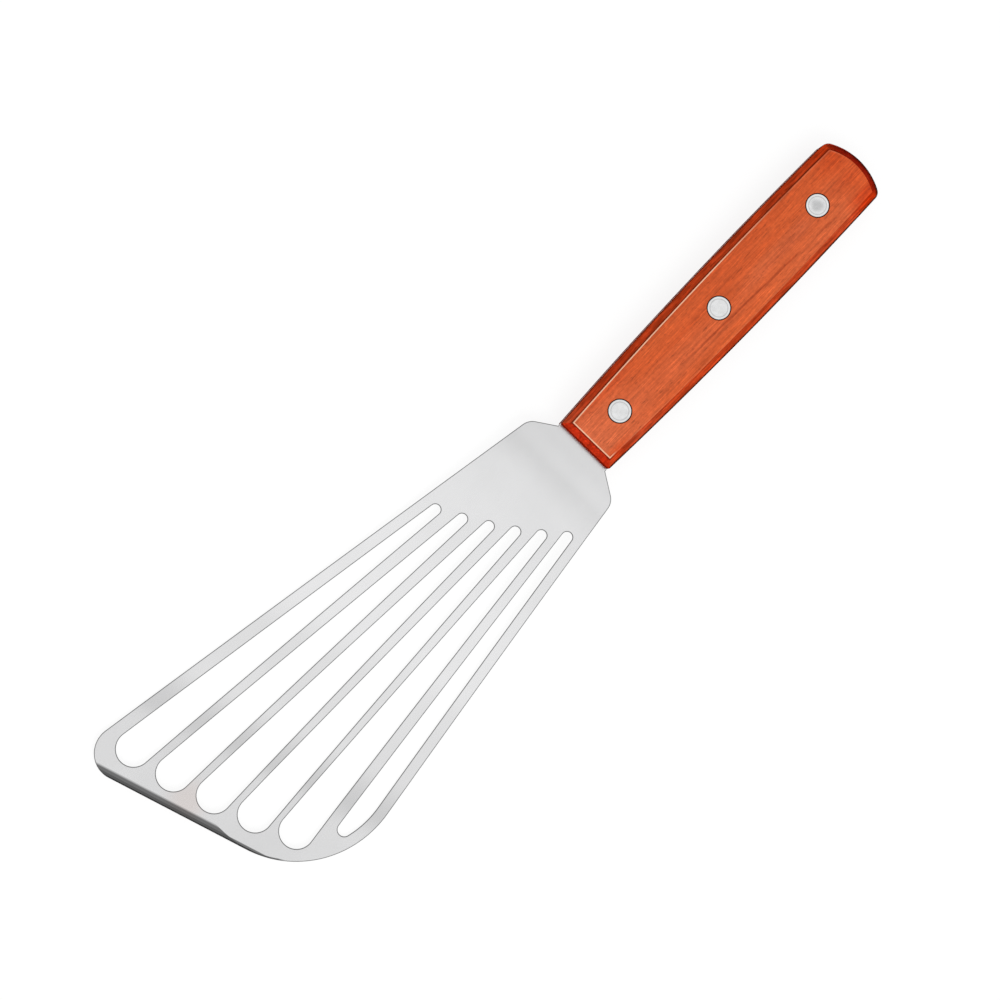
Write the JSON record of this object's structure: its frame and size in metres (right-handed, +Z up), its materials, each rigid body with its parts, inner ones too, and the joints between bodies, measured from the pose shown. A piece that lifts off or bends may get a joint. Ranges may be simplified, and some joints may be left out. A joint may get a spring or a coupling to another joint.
{
  "type": "fish turner",
  "caption": "Slotted fish turner with a thin springy steel blade, a slanted ground front edge and a riveted wooden handle.",
  "frame": {"origin": "on the flat underside of the handle, at the axis of the middle rivet", "axes": "+X along the handle towards the blade's front edge, +Z up from the bench, +Y towards the blade's shorter side"},
  "size_m": [0.2966, 0.0809, 0.016],
  "materials": {
    "blade_steel": "satin, brushed along the blade",
    "handle_wood": "oiled reddish hardwood, fine straight grain",
    "rivet_metal": "satin, ground flush"
  },
  "bodies": {
    "root": {"blade": "blade_steel", "upper_scale": "handle_wood", "lower_scale": "handle_wood", "rivet_front_post": "rivet_metal", "rivet_front_socket": "rivet_metal", "rivet_middle_post": "rivet_metal", "rivet_middle_socket": "rivet_metal", "rivet_rear_post": "rivet_metal", "rivet_rear_socket": "rivet_metal"}
  },
  "joints": []
}
